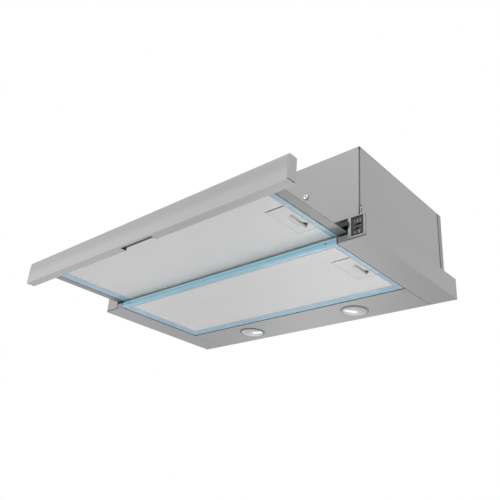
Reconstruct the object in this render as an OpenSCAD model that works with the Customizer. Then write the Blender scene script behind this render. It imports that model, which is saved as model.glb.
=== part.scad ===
// Pull out range hood for a kitchen cabinet.
// X points right as seen from the front, Y to the back, Z up.
// The origin is the centre of the four fixing holes, on the upper face of the top panel.
// The drawer is drawn fully out.

/* [Body] */
// Width of the skirt
skirt_w = 595; // [590:1:620]
// Height of the skirt
skirt_h = 37; // [36:1:39]
// Width of the ledge at each side of the box, which meets the cabinet's underside
ledge_w = 16; // [12:1:17]
// Distance of the box front behind the skirt front
box_setback = 8; // [6:1:10]
// Distance of the box rear from the skirt rear
rear_ledge = 11; // [6:1:14]
// Thickness of the steel sheet
sheet = 1; // [0.8:0.1:1.2]
// Width of the folds inside the box
fold_w = 12; // [8:1:14]
// Distance of the side panels' front edge behind the front panel
corner_back = 2.9; // [2:0.1:5]
// Width of the open groove at the box's front corners
corner_in = 2.1; // [1.4:0.1:4]
// Width of the side panels' front return
edge_return = 6; // [5:0.5:8]
// Gap between the front panel's folds and the side panels' returns
seam = 1.5; // [0.5:0.1:2]
// Height of the tab that narrows the groove over the ledge
tab_h = 20; // [14:1:30]
// Width of the back panel's folds over the side panels
back_wrap = 10; // [6:1:16]

/* [Fixing and outlet] */
// Distance of a fixing hole from the box's side
fix_side = 31.5; // [20:0.5:50]
// Distance of a front fixing hole from the box's front
fix_front = 32; // [20:1:50]
// Diameter of a fixing hole
fix_d = 6; // [4:0.5:8]
// Outer diameter of the outlet collar
collar_d = 120; // [118:1:126]
// Height of the collar
collar_h = 25; // [20:1:40]
// Wall of the collar
collar_wall = 1.5; // [1:0.1:2]
// Width of the collar's foot
collar_foot = 10; // [6:1:14]
// Distance of the cable gland from the box's rear
gland_back = 37; // [30:1:60]

/* [Underside] */
// Width of the skirt's bottom flange at each side
flange_w = 48.5; // [47:0.5:50]
// Height of the upturned lip beside the filter
lip_h = 10; // [8:0.5:10]
// Depth of the lamp panel
lamp_panel_d = 85; // [70:1:90]
// Radius of the lamp panel's flared rear corners
flare_r = 12; // [6:1:16]
// Gap in the seam between the lamp panel and the flanges
panel_gap = 0.6; // [0.4:0.1:1]

/* [Lamps] */
// Distance between the lamps
lamp_pitch = 246; // [200:1:300]
// Diameter of the lens
lens_d = 43.5; // [40:0.5:56]
// Width of the bezel round the lens
bezel_w = 4; // [3:0.5:6]
// Height of the lens dome
dome_h = 3; // [2:0.5:5]
// Thickness of the bezel below the panel
bezel_t = 0.8; // [0.6:0.1:2]
// How far the lens's rim stands below the bezel
lens_out = 0.8; // [0.4:0.1:1.5]
// Height of the lamp body over the panel
lamp_body_h = 20; // [14:1:24]

/* [Front ends] */
// Thickness of the fascia plates
fascia_t = 1.2; // [1:0.1:1.5]
// Height of the fascia's lower edge over the underside
fascia_rise = 2.6; // [2:0.2:3]
// Clearance between the drawer's side and its opening
slot_gap = 1.5; // [1:0.1:2]
// Width of the stiles at both sides of the switch block
stile_w = 5.5; // [4:0.5:6]
// Depth of the switch block
switch_deep = 27; // [20:1:30]
// Travel of the speed slider
speed_travel = 9; // [6:0.5:10]
// Travel of the light slider
light_travel = 5; // [3:0.5:6]
// Width of a slider knob
knob_w = 4; // [3:0.5:5]
// Height of a slider knob
knob_h = 3; // [2.4:0.2:3.4]

/* [Filters] */
// Depth of the fixed filter
filter_d = 193; // [180:0.2:210]
// Gap at each side of the fixed filter
filter_gap = 2; // [1.5:0.1:3]
// Gap at each side of the drawer's filter
drawer_filter_gap = 2.7; // [1:0.1:3.5]
// How far the drawer's filter reaches over the fixed one
filter_over = 22; // [16:1:26]
// Thickness of a filter
filter_t = 10; // [9:0.5:10]
// Height of the fixed filter over the underside
filter_rise = 1; // [0.8:0.1:1.4]
// Sheet of the filter frame
frame_wall = 0.8; // [0.6:0.1:1]
// Width of the frame's rim
rim_w = 9.5; // [8:0.5:12]
// Thickness of the blue film on the rim
film_t = 0.25; // [0.2:0.05:0.3]
// Distance of the slit from the filter's front edge
slit_back = 50; // [40:1:56]
// Length of the slit
slit_l = 35; // [25:1:40]
// Width of the slit
slit_w = 1.6; // [1:0.1:2.5]
// Distance of the latch pocket's middle from the filter's front edge
pocket_back = 95; // [84:1:110]
// Length of the latch pocket
pocket_l = 40; // [36:1:44]
// Width of the latch pocket
pocket_w = 12; // [11.5:0.5:14]
// Distance of the pocket's outer side from the filter's side
pocket_in = 16.5; // [15.5:0.5:20]
// Radius of the fingertip recess beside the latch
thumb_r = 5.5; // [5:0.5:6]
// Travel of a latch
latch_travel = 3; // [2:0.2:3]

/* [Drawer] */
// Travel of the drawer
travel = 159.5; // [140:0.5:160]
// Gap between the closed drawer's trim and the skirt
close_gap = 0.5; // [0.3:0.1:1]
// Distance of the drawer's side from the skirt's side
rail_set = 32.5; // [31:0.5:34]
// Height from the fixed filter up to the drawer
layer_gap = 3.2; // [2.8:0.1:3.6]
// Height of the drawer's sides over the filter in it
rail_cover = 2.3; // [1.5:0.1:2.6]
// Width of the drawer sides' bottom flange
rail_w = 15; // [14:0.5:16]
// Distance of the closed drawer's end from the rear of the skirt
rail_back = 25.5; // [23:0.5:40]
// How far the trim's ends stand out past the skirt
trim_over = 1.5; // [0.5:0.5:4]
// How much lower the trim's top is than the skirt's
trim_drop = 0; // [0:0.5:2]
// How much lower the trim's foot is than the skirt's underside
trim_sag = 1.5; // [0:0.5:2]
// Thickness of the front trim at its foot
trim_t = 15.3; // [14:0.1:18]
// How far the trim's face leans back at the top
trim_lean = 0.6; // [0.4:0.1:3]
// Bow of the trim's face
trim_bow = 0.8; // [0.4:0.1:1.5]
// Wall of the trim
trim_wall = 1.2; // [1:0.1:1.5]
// Thickness of an end cap
cap_t = 2; // [1.5:0.1:3]
// Gap under an end cap
cap_gap = 1.4; // [0.8:0.1:1.8]
// Width of the finger notch
notch_w = 73; // [50:1:100]
// Depth of the finger notch from the rear of the trim
notch_d = 10.5; // [9:0.5:11]
// Height of the finger notch
notch_h = 6; // [5:0.5:8]
// Distance of the notch to the right of the middle
notch_shift = 5; // [-20:1:20]

/* [Fan] */
// Diameter of the fan wheel
wheel_d = 88; // [80:1:90]
// Number of blades
blades = 32; // [20:1:36]
// Radial depth of a blade
blade_deep = 7; // [6:0.5:8]
// Width of the fan wheel
wheel_w = 96; // [80:1:97]
// Smallest gap between the wheel and the scroll
scroll_gap = 6; // [5:0.5:6.5]
// Growth of the scroll's radius at each quarter turn
scroll_step = 7; // [5:0.5:7]
// Gap between the wheel and the scroll's cheeks
cheek_gap = 2; // [1:0.5:4]
// Wall of the scroll
scroll_wall = 1.2; // [1:0.1:1.5]
// Space between the fan and the skirt
fan_clear = 3.3; // [2:0.1:30]
// Diameter of the motor
motor_d = 62; // [56:1:64]
// Length of the motor
motor_l = 60; // [56:1:90]
// Diameter of the motor shaft
shaft_d = 6; // [5:0.5:7]
// Radial clearance of the shaft in the motor
shaft_fit = 0.05; // [0.02:0.01:0.1]

/* [Hidden] */
$fn = 96;

// Overrun of a cut past the face that it opens
over = 1;
// Sliding clearance of a guided piece
slide_gap = 0.2;

// Fan, in a side view with Y along X and Z along Y, centred on the wheel's axis
wheel_r = wheel_d / 2;
scroll_r = wheel_r + scroll_gap;
duct_in_share = 0.42;
duct_in = wheel_r * duct_in_share;
duct_out = scroll_r + 3 * scroll_step;
duct_neck = 10.5;
duct_rise = scroll_r + duct_neck;
scroll_drop = scroll_r + scroll_step + scroll_wall;
cheek_x = wheel_w / 2 + cheek_gap;

// Levels and faces of the body. The box is as high as the fan asks for, and the skirt as deep as the filter does
box_roof = -sheet;
axis_y = -(duct_in + duct_out) / 2;
axis_z = box_roof - duct_rise;
skirt_top = axis_z - scroll_drop - fan_clear;
under_z = skirt_top - skirt_h;
panel_space = 1.75;
skirt_d = film_t + filter_d + panel_space + lamp_panel_d;
front_y = -skirt_d / 2;
rear_y = skirt_d / 2;
skirt_x = skirt_w / 2;
box_x = skirt_x - ledge_w;
box_front = front_y + box_setback;
box_rear = rear_y - rear_ledge;
fold_x = box_x - fold_w;
fix_x = box_x - fix_side;
fix_y = -box_front - fix_front;
flange_x = skirt_x - flange_w;
floor_z = under_z + sheet;
lamp_front = rear_y - lamp_panel_d;
lamp_x = lamp_pitch / 2;
lamp_y = (lamp_front + rear_y) / 2;
sleeve_t = 2;
lamp_hole_r = lens_d / 2 + sleeve_t;
bezel_r = lens_d / 2 + bezel_w;

// Drawer, drawn out to the end of its travel
drawer_x = skirt_x - rail_set;
drawer_z = under_z + filter_rise + filter_t + layer_gap;
rail_top = drawer_z + filter_t + rail_cover;
rail_front = front_y - close_gap - travel;
rail_rear = rear_y - rail_back - travel;
slot_x = drawer_x + slot_gap;

// Places on the front ends
bulge_r = 8;
bulge_out = 3;
bulge_rise = 10.5;
bulge_x = slot_x + bulge_out - bulge_r;
bulge_z = drawer_z + bulge_rise;
switch_rise = 5.6;
switch_drop = 2;
switch_x0 = slot_x + stile_w;
switch_z0 = under_z + switch_rise;
switch_w = skirt_x - stile_w - switch_x0;
switch_h = skirt_top - switch_drop - switch_z0;
switch_fit = 0.2;
switch_recess = 1.2;
ear_w = 1.3;

// A block between two corners, each axis given as [low, high]
module block(x, y, z) {
  translate([x[0], y[0], z[0]])
    cube([x[1] - x[0], y[1] - y[0], z[1] - z[0]]);
}

// The left hand twin of a right hand piece
module twin() {
  mirror([1, 0, 0]) children();
}

// A length of side view, with Y along its X and Z along its Y, laid along X from x0
module along_x(x0, length) {
  translate([x0, 0, 0]) rotate([90, 0, 90]) linear_extrude(length) children();
}

// A plate with rounded ends, long along Y, centred on X and Y
module stadium(w, l, h) {
  translate([-w / 2, -(l - w) / 2, 0]) cube([w, l - w, h]);
  for (s = [-1, 1]) translate([0, s * (l - w) / 2, 0]) cylinder(d = w, h = h);
}

// Upper box

// Holes of the cable gland and the outlet
gland_x = -190;
gland_y = box_rear - gland_back;
gland_d = 16;
outlet_r = collar_d / 2 - collar_wall;

module top_panel() {
  color("silver")
    difference() {
      block([-box_x, box_x], [box_front, box_rear + sheet], [box_roof, 0]);
      translate([0, 0, box_roof - over]) cylinder(r = outlet_r, h = sheet + 2 * over);
      for (sx = [-1, 1], sy = [-1, 1])
        translate([sx * fix_x, sy * fix_y, box_roof - over]) cylinder(d = fix_d, h = sheet + 2 * over);
      translate([gland_x, gland_y, box_roof - over]) cylinder(d = gland_d, h = sheet + 2 * over);
    }
}

// A sheet with a fold at its top and foot and a narrow hem at each side
front_x = box_x - corner_in;
front_fold_x = box_x - edge_return - seam;
corner_y = box_front + corner_back;
screw_hole_d = 4.2;
screw_x = 183.5;
screw_drop = 57;

module front_panel() {
  color("silver")
    difference() {
      union() {
        block([-front_x, front_x], [box_front, box_front + sheet], [skirt_top, box_roof]);
        for (z = [skirt_top, box_roof - sheet])
          block([-front_fold_x, front_fold_x], [box_front, box_front + fold_w], [z, z + sheet]);
        for (x = [-front_x, front_x - sheet])
          block([x, x + sheet], [box_front, corner_y - slide_gap], [skirt_top, box_roof]);
      }
      for (s = [-1, 1])
        translate([s * screw_x, box_front - over, -screw_drop])
          rotate([-90, 0, 0]) cylinder(d = screw_hole_d, h = sheet + 2 * over);
    }
}

// A sheet with its front edge behind the front panel, and a tab, a slot and a relief notch over the ledge
relief_h = 2.2;
relief_d = 2.3;
tab_back = 1.4;
tab_slot_rise = 11;
tab_slot_h = 5.5;
tab_slot_w = 2;

module side_panel_right() {
  color("silver")
    difference() {
      union() {
        block([box_x - sheet, box_x], [corner_y, box_rear], [skirt_top, box_roof]);
        block([box_x - edge_return, box_x], [corner_y, corner_y + sheet], [skirt_top, box_roof]);
        block([box_x - sheet, box_x], [box_front + tab_back, corner_y + sheet], [skirt_top, skirt_top + tab_h]);
        block([fold_x, box_x], [box_rear - sheet, box_rear], [skirt_top, box_roof]);
        for (z = [skirt_top, box_roof - sheet])
          block([fold_x, box_x], [box_front + fold_w + seam, box_rear], [z, z + sheet]);
      }
      block([box_x - edge_return / 2, box_x + over], [box_front, corner_y + relief_d],
            [skirt_top + tab_h, skirt_top + tab_h + relief_h]);
      block([box_x - sheet - over, box_x + over], [corner_y + sheet, corner_y + sheet + tab_slot_w],
            [skirt_top + tab_slot_rise, skirt_top + tab_slot_rise + tab_slot_h]);
    }
}

module side_panel_left() twin() side_panel_right();

module back_panel() {
  color("silver") {
    block([-box_x - sheet, box_x + sheet], [box_rear, box_rear + sheet], [skirt_top, box_roof]);
    for (s = [-1, 1])
      block([s * box_x - (s < 0 ? sheet : 0), s * box_x + (s > 0 ? sheet : 0)],
            [box_rear - back_wrap, box_rear], [skirt_top, box_roof]);
  }
}

// Skirt

// Outline of the lamp panel with its flared rear corners, grown by a gap
module lamp_plan(gap) {
  reach = flange_x - panel_gap + gap;
  translate([-reach, lamp_front]) square([2 * reach, lamp_panel_d]);
  for (s = [-1, 1])
    scale([s, 1])
      difference() {
        translate([reach - over, rear_y - flare_r]) square([flare_r + over, flare_r]);
        translate([reach + flare_r, rear_y - flare_r]) circle(r = flare_r);
      }
}

module skirt_right() {
  color("silver") {
    translate([0, 0, under_z])
      linear_extrude(sheet)
        difference() {
          translate([flange_x, front_y]) square([flange_w, skirt_d]);
          lamp_plan(panel_gap);
        }
    block([skirt_x - sheet, skirt_x], [front_y, rear_y], [under_z, skirt_top]);
    block([fold_x, skirt_x], [front_y, rear_y], [skirt_top - sheet, skirt_top]);
    block([flange_x, flange_x + sheet], [front_y + fascia_t * 2, lamp_front - panel_gap],
          [under_z, under_z + lip_h]);
  }
}

module skirt_left() twin() skirt_right();

module front_ledge() {
  color("silver")
    block([-fold_x, fold_x], [front_y, box_front + fold_w], [skirt_top - sheet, skirt_top]);
}

module lamp_panel() {
  color("silver")
    difference() {
      union() {
        translate([0, 0, under_z]) linear_extrude(sheet) lamp_plan(0);
        block([-flange_x + panel_gap, flange_x - panel_gap], [lamp_front, lamp_front + sheet],
              [under_z, under_z + lip_h]);
        block([-skirt_x + sheet, skirt_x - sheet], [rear_y - sheet, rear_y], [floor_z, skirt_top - sheet]);
        block([-fold_x, fold_x], [box_rear - fold_w, rear_y], [skirt_top - sheet, skirt_top]);
      }
      for (s = [-1, 1])
        translate([s * lamp_x, lamp_y, under_z - over]) cylinder(r = lamp_hole_r, h = sheet + 2 * over);
    }
}

// Lamps

sleeve_h = 6;

module lamp_bezel_right() {
  color("dimgray")
    translate([lamp_x, lamp_y, 0])
      rotate_extrude()
        union() {
          translate([lens_d / 2, under_z - bezel_t]) square([sleeve_t, bezel_t + sleeve_h]);
          polygon([
            [lamp_hole_r - sleeve_t / 2, under_z - bezel_t],
            [bezel_r - bezel_t / 2, under_z - bezel_t],
            [bezel_r, under_z - bezel_t / 2],
            [bezel_r, under_z],
            [lamp_hole_r - sleeve_t / 2, under_z]
          ]);
        }
}

module lamp_bezel_left() twin() lamp_bezel_right();

// A disc with a shallow spherical dome below it
module lamp_lens_right() {
  dome_r = (lens_d * lens_d / 4 + dome_h * dome_h) / (2 * dome_h);
  color("white")
    translate([lamp_x, lamp_y, under_z - bezel_t - lens_out]) {
      cylinder(d = lens_d, h = bezel_t + lens_out + sheet);
      intersection() {
        translate([0, 0, -dome_h]) cylinder(d = lens_d, h = dome_h);
        translate([0, 0, dome_r - dome_h]) sphere(r = dome_r);
      }
    }
}

module lamp_lens_left() twin() lamp_lens_right();

// A can over the hole with a cable stub boss on top
module lamp_body_right() {
  can_wall = 1.5;
  boss_d = 12;
  boss_h = 3;
  color("gray")
    translate([lamp_x, lamp_y, floor_z])
      difference() {
        union() {
          cylinder(r = lamp_hole_r + can_wall, h = lamp_body_h);
          translate([0, 0, lamp_body_h]) cylinder(d = boss_d, h = boss_h);
        }
        translate([0, 0, -over]) cylinder(r = lamp_hole_r, h = lamp_body_h - can_wall + over);
      }
}

module lamp_body_left() twin() lamp_body_right();

// Front ends of the skirt

guide_deep = 13;
guide_y = [front_y + 2 * fascia_t, front_y + 2 * fascia_t + guide_deep];
guide_wall = 1.1;
lip_cover = 1;
fascia_gap = 0.6;

// The stile and the lip under the drawer's side, without the openings
module fascia_plate() {
  block([slot_x, skirt_x - sheet - fascia_gap], [front_y, front_y + fascia_t],
        [under_z + fascia_rise, skirt_top - sheet]);
  block([flange_x, skirt_x - sheet], [front_y + fascia_t, guide_y[0]], [floor_z, under_z + lip_h + lip_cover]);
}

module bulge_hole(extra) {
  translate([bulge_x, front_y - over, bulge_z])
    rotate([-90, 0, 0]) cylinder(r = bulge_r + extra, h = 2 * fascia_t + 2 * over);
}

module fascia_right() {
  color("silver")
    difference() {
      fascia_plate();
      bulge_hole(slide_gap);
      block([switch_x0 - switch_fit, switch_x0 + switch_w + switch_fit], [front_y - over, guide_y[0] + over],
            [switch_z0 - switch_fit, switch_z0 + switch_h + switch_fit]);
    }
}

module fascia_left() {
  color("silver")
    twin()
      difference() {
        fascia_plate();
        bulge_hole(slide_gap);
      }
}

// A black guide round the drawer's side, with a round boss on its outer wall
module slide_guide_right() {
  inner_x = flange_x + 2 * sheet;
  color("#222222")
    difference() {
      union() {
        block([inner_x, slot_x - slide_gap], guide_y, [floor_z, skirt_top - sheet]);
        intersection() {
          translate([bulge_x, guide_y[0], bulge_z])
            rotate([-90, 0, 0]) cylinder(r = bulge_r, h = guide_y[1] - guide_y[0]);
          block([slot_x - 2 * guide_wall, slot_x + bulge_r], guide_y, [floor_z, skirt_top]);
        }
      }
      block([inner_x - over, drawer_x + slide_gap], [guide_y[0] - over, guide_y[1] + over],
            [drawer_z - slide_gap, rail_top + slide_gap]);
    }
}

module slide_guide_left() twin() slide_guide_right();

// Runner: a folded channel that holds the slide shoe, on a foot on the skirt's flange
shoe_w = 4.6;
shoe_h = 9;
shoe_rise = 1.8;
shoe_z = drawer_z + shoe_rise;
shoe_l = 35;
runner_x = drawer_x + shoe_w + 2 * slide_gap;
runner_foot = 12;
runner_gap = 3;
runner_back = 16;
runner_front = front_y + switch_deep + runner_gap;
runner_rear = rear_y - runner_back;

module runner_right() {
  lips = slide_gap + sheet;
  color("lightgray") {
    block([runner_x, runner_x + sheet], [runner_front, runner_rear], [floor_z, shoe_z + shoe_h + lips]);
    block([drawer_x + sheet, runner_x], [runner_front, runner_rear], [shoe_z - lips, shoe_z - slide_gap]);
    block([drawer_x + sheet, runner_x], [runner_front, runner_rear],
          [shoe_z + shoe_h + slide_gap, shoe_z + shoe_h + lips]);
    block([runner_x, runner_x + runner_foot], [runner_front, runner_rear], [floor_z, floor_z + sheet]);
  }
}

module runner_left() twin() runner_right();

// Controls

knob_out = 0.7;
stem_h = 1.6;
stem_w = 2.4;
stem_deep = 6;
speed_rise = 17.2;
light_rise = 10.6;
track_in = 3.6;
speed_z = switch_z0 + speed_rise;
light_z = switch_z0 + light_rise;
track_x = switch_x0 + track_in;
face_y = front_y + switch_recess;

// A slot for a stem that travels a given length
module track(z, length) {
  block([track_x + (knob_w - stem_w) / 2 - slide_gap, track_x + (knob_w + stem_w) / 2 + length + slide_gap],
        [face_y - over, face_y + stem_deep + slide_gap],
        [z - stem_h / 2 - slide_gap, z + stem_h / 2 + slide_gap]);
}

module switch_block() {
  color("#1c1c1c")
    difference() {
      union() {
        block([switch_x0, switch_x0 + switch_w], [face_y, front_y + 2 * fascia_t],
              [switch_z0, switch_z0 + switch_h]);
        block([switch_x0 - ear_w, switch_x0 + switch_w + ear_w], [front_y + 2 * fascia_t, front_y + switch_deep],
              [switch_z0 - ear_w, switch_z0 + switch_h + switch_fit]);
      }
      track(speed_z, speed_travel);
      track(light_z, light_travel);
    }
}

// A ribbed knob on a flat stem, at the left end of its track
module slider(z) {
  rib_w = 0.6;
  rib_out = 0.3;
  block([track_x, track_x + knob_w], [face_y - slide_gap / 2 - knob_out, face_y - slide_gap / 2],
        [z - knob_h / 2, z + knob_h / 2]);
  for (i = [0 : 2])
    block([track_x + (knob_w - rib_w) * i / 2, track_x + (knob_w - rib_w) * i / 2 + rib_w],
          [face_y - slide_gap / 2 - knob_out - rib_out, face_y - knob_out], [z - knob_h / 2, z + knob_h / 2]);
  block([track_x + (knob_w - stem_w) / 2, track_x + (knob_w + stem_w) / 2],
        [face_y - slide_gap, face_y + stem_deep], [z - stem_h / 2, z + stem_h / 2]);
}

module speed_slider() {
  color("#3a3a3a") slider(speed_z);
}

module light_slider() {
  color("#3a3a3a") slider(light_z);
}

// Filters, in their own frame: X across about the middle, Y from the front edge, Z from the lower face

tongue_w = 11.6;
tongue_t = 1.6;
fixed_tongue_z = 4;
drawer_tongue_z = sheet + 3 * slide_gap;
pocket_h = 8;
face_t = 0.8;
core_t = 0.7;
fold_pitch = 12;
pocket_wall = 0.8;
tab_w = 24;
rivet_d = 3;
rivet_in = 19;

// Pocket with a round recess for a fingertip at its outer side, behind the latch's tongue
thumb_in = 1;
thumb_back = 11;

module pocket_shape(w, grow, h) {
  translate([w / 2 - pocket_in, pocket_back, 0]) {
    translate([-pocket_w / 2, 0, 0]) stadium(pocket_w + 2 * grow, pocket_l + 2 * grow, h);
    translate([-thumb_in, thumb_back, 0]) cylinder(r = thumb_r + grow, h = h);
  }
}

// Way for the latch tongue, from the pocket out through the filter's side
module tongue_way(w, z) {
  block([w / 2 - pocket_in - pocket_w / 2, w / 2 + over],
        [pocket_back - tongue_w / 2 - slide_gap, pocket_back + tongue_w / 2 + slide_gap],
        [z - slide_gap, z + tongue_t + slide_gap]);
}

// Folded frame: a channel open inwards all round, with two tabs on its left side
module frame_of(w, d, tongue_z, tab_z, tab_out) {
  difference() {
    block([-w / 2, w / 2], [0, d], [0, filter_t]);
    block([-w / 2 + frame_wall, w / 2 - frame_wall], [frame_wall, d - frame_wall],
          [frame_wall, filter_t - frame_wall]);
    block([-w / 2 + rim_w, w / 2 - rim_w], [rim_w, d - rim_w], [-over, filter_t + over]);
    tongue_way(w, tongue_z);
    for (s = [-1, 1])
      translate([s * (w / 2 - rivet_in), -over, filter_t / 2])
        rotate([-90, 0, 0]) cylinder(d = rivet_d, h = frame_wall + 2 * over);
  }
  for (y = [d / 4, d * 3 / 4])
    block([-w / 2 - tab_out, -w / 2], [y - tab_w / 2, y + tab_w / 2], [tab_z, tab_z + frame_wall]);
}

// Side view of the mesh pack: two face meshes and a folded one between them
module mesh_side(d) {
  y0 = frame_wall;
  y1 = d - frame_wall;
  z0 = frame_wall;
  z1 = filter_t - frame_wall;
  folds = 2 * floor((y1 - y0) / fold_pitch);
  step = (y1 - y0) / folds;
  low = z0 + face_t / 2;
  high = z1 - face_t / 2;
  for (z = [z0, z1 - face_t]) translate([y0, z]) square([y1 - y0, face_t]);
  for (y = [y0, y1 - face_t]) translate([y, z0]) square([face_t, z1 - z0]);
  polygon(concat(
    [for (i = [0 : folds]) [y0 + i * step, (i % 2 == 0 ? low : high - core_t)]],
    [for (i = [folds : -1 : 0]) [y0 + i * step, (i % 2 == 0 ? low + core_t : high)]]
  ));
}

// Mesh pack, with the latch pocket and the slit cut into it
module mesh_of(w, d, tongue_z) {
  slit_x = w / 2 - pocket_in - pocket_w / 2 - slit_l / 2 + rim_w;
  difference() {
    along_x(-w / 2 + frame_wall, w - 2 * frame_wall) mesh_side(d);
    translate([0, 0, frame_wall - over]) pocket_shape(w, 0, pocket_h - frame_wall + over);
    tongue_way(w, tongue_z);
    block([slit_x - slit_l / 2, slit_x + slit_l / 2], [slit_back - slit_w / 2, slit_back + slit_w / 2],
          [frame_wall - over, frame_wall + face_t + over]);
  }
}

// Strips of film on the rim and, where asked, on the front face
module film_of(w, d, on_front) {
  difference() {
    union() {
      block([-w / 2, w / 2], [0, d], [-film_t, 0]);
      if (on_front) block([-w / 2, w / 2], [-film_t, 0], [-film_t, filter_t]);
    }
    block([-w / 2 + rim_w, w / 2 - rim_w], [rim_w, d - rim_w], [-film_t - over, over]);
    for (s = [-1, 1])
      translate([s * (w / 2 - rivet_in), -film_t - over, filter_t / 2])
        rotate([-90, 0, 0]) cylinder(d = rivet_d, h = film_t + 2 * over);
  }
}

// Cup of the latch pocket, open downwards
module pocket_of(w, tongue_z) {
  difference() {
    translate([0, 0, frame_wall]) pocket_shape(w, 0, pocket_h - frame_wall);
    translate([0, 0, frame_wall - over]) pocket_shape(w, -pocket_wall, pocket_h - frame_wall - pocket_wall + over);
    tongue_way(w, tongue_z);
  }
}

// Latch: a tongue in the way, a neck, and a D shaped finger lip proud of the filter's face, turned a little
module latch_of(w, tongue_z, tongue_out) {
  lip_w = 10;
  lip_in = 1;
  lip_l = pocket_l - 2 * lip_in;
  lip_down = 1.6;
  lip_turn = 4;
  neck_t = 2;
  neck_l = 18;
  neck_out = 6.5;
  x0 = w / 2 - pocket_in - pocket_w;
  plan_r = (lip_l * lip_l / 4 + lip_w * lip_w) / (2 * lip_w);
  lip_top = frame_wall - slide_gap;
  drop = lip_down + lip_top;
  side_r = (lip_w * lip_w + drop * drop) / (2 * drop);
  translate([x0 - lip_in + lip_w / 2, pocket_back, 0])
    rotate(lip_turn)
      intersection() {
        translate([plan_r - lip_w / 2, 0, -lip_down]) cylinder(r = plan_r, h = drop);
        block([-lip_w / 2, lip_w / 2], [-lip_l / 2, lip_l / 2], [-lip_down, lip_top]);
        translate([lip_w / 2, -lip_l / 2, side_r - lip_down])
          rotate([-90, 0, 0]) cylinder(r = side_r, h = lip_l);
      }
  block([x0 + neck_out - neck_t, x0 + neck_out], [pocket_back - neck_l / 2, pocket_back + neck_l / 2],
        [lip_top - over / 2, tongue_z + tongue_t]);
  block([x0 + neck_out - neck_t, w / 2 + tongue_out], [pocket_back - tongue_w / 2, pocket_back + tongue_w / 2],
        [tongue_z, tongue_z + tongue_t]);
}

// Fixed filter
fixed_filter_at = [0, front_y + film_t, under_z + filter_rise];
filter_w = 2 * (flange_x - filter_gap);
lip_clear = 0.4;

module filter_frame() {
  color("gainsboro")
    translate(fixed_filter_at)
      frame_of(filter_w, filter_d, fixed_tongue_z, lip_h - filter_rise, filter_gap + sheet);
}

module filter_mesh() {
  color("gainsboro") translate(fixed_filter_at) mesh_of(filter_w, filter_d, fixed_tongue_z);
}

module filter_film() {
  color("lightskyblue") translate(fixed_filter_at) film_of(filter_w, filter_d, true);
}

module filter_pocket() {
  color("gray") translate(fixed_filter_at) pocket_of(filter_w, fixed_tongue_z);
}

module filter_latch() {
  color("whitesmoke") translate(fixed_filter_at) latch_of(filter_w, fixed_tongue_z, filter_gap - lip_clear);
}

// Drawer's filter, which rests by its tabs and its latch on the bottom flanges of the sides
rail_inner = drawer_x - rail_w;
drawer_filter_w = 2 * (rail_inner - drawer_filter_gap);
drawer_filter_front = 2;
drawer_filter_d = travel + close_gap + filter_over - drawer_filter_front;
drawer_filter_at = [0, rail_front + drawer_filter_front, drawer_z];

module drawer_filter_frame() {
  color("gainsboro")
    translate(drawer_filter_at)
      frame_of(drawer_filter_w, drawer_filter_d, drawer_tongue_z, sheet, drawer_filter_gap + 3 * sheet);
}

module drawer_filter_mesh() {
  color("gainsboro") translate(drawer_filter_at) mesh_of(drawer_filter_w, drawer_filter_d, drawer_tongue_z);
}

module drawer_filter_film() {
  color("lightskyblue") translate(drawer_filter_at) film_of(drawer_filter_w, drawer_filter_d, false);
}

module drawer_filter_pocket() {
  color("gray") translate(drawer_filter_at) pocket_of(drawer_filter_w, drawer_tongue_z);
}

module drawer_filter_latch() {
  color("whitesmoke")
    translate(drawer_filter_at)
      latch_of(drawer_filter_w, drawer_tongue_z, drawer_filter_gap + latch_travel);
}

// Drawer's frame

bar_gap = 2;
bar_d = 12;
bar_front = rail_front + drawer_filter_front + drawer_filter_d + bar_gap;

// Side of the drawer: a flat flange with a low upright beside the filter, and a high web inside the hood only
module drawer_side_right() {
  top_share = 0.6;
  top_w = rail_w * top_share;
  upright_h = 9;
  upright_x = rail_inner + 3 * sheet + slide_gap;
  upright_top = drawer_z + upright_h;
  web_front = guide_y[1] + slide_gap;
  color("silver") {
    block([rail_inner, drawer_x], [rail_front, rail_rear], [drawer_z, drawer_z + sheet]);
    block([upright_x, upright_x + sheet], [rail_front, bar_front - bar_gap], [drawer_z, upright_top]);
    for (y = [rail_front, web_front])
      block([upright_x, drawer_x], [y, y + sheet], [drawer_z, upright_top]);
    block([drawer_x - sheet, drawer_x], [web_front, rail_rear], [drawer_z, rail_top]);
    block([drawer_x - top_w, drawer_x], [web_front, rail_rear], [rail_top - sheet, rail_top]);
  }
}

module drawer_side_left() twin() drawer_side_right();

module drawer_rear_bar() {
  color("silver") {
    block([-drawer_x + sheet, drawer_x - sheet], [bar_front, bar_front + sheet],
          [drawer_z + sheet, rail_top - sheet]);
    block([-drawer_x + sheet, drawer_x - sheet], [bar_front, bar_front + bar_d],
          [drawer_z + sheet, drawer_z + 2 * sheet]);
  }
}

module slide_shoe_right() {
  lead = 3;
  color("#2a2a2a")
    intersection() {
      block([drawer_x, drawer_x + shoe_w], [rail_rear - shoe_l, rail_rear], [shoe_z, shoe_z + shoe_h]);
      union() {
        block([drawer_x, drawer_x + shoe_w], [rail_rear - shoe_l + lead, rail_rear - lead],
              [shoe_z, shoe_z + shoe_h]);
        for (y = [rail_rear - shoe_l + shoe_h / 2, rail_rear - shoe_h / 2])
          translate([drawer_x, y, shoe_z + shoe_h / 2]) rotate([0, 90, 0]) cylinder(d = shoe_h, h = shoe_w);
      }
    }
}

module slide_shoe_left() twin() slide_shoe_right();

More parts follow.
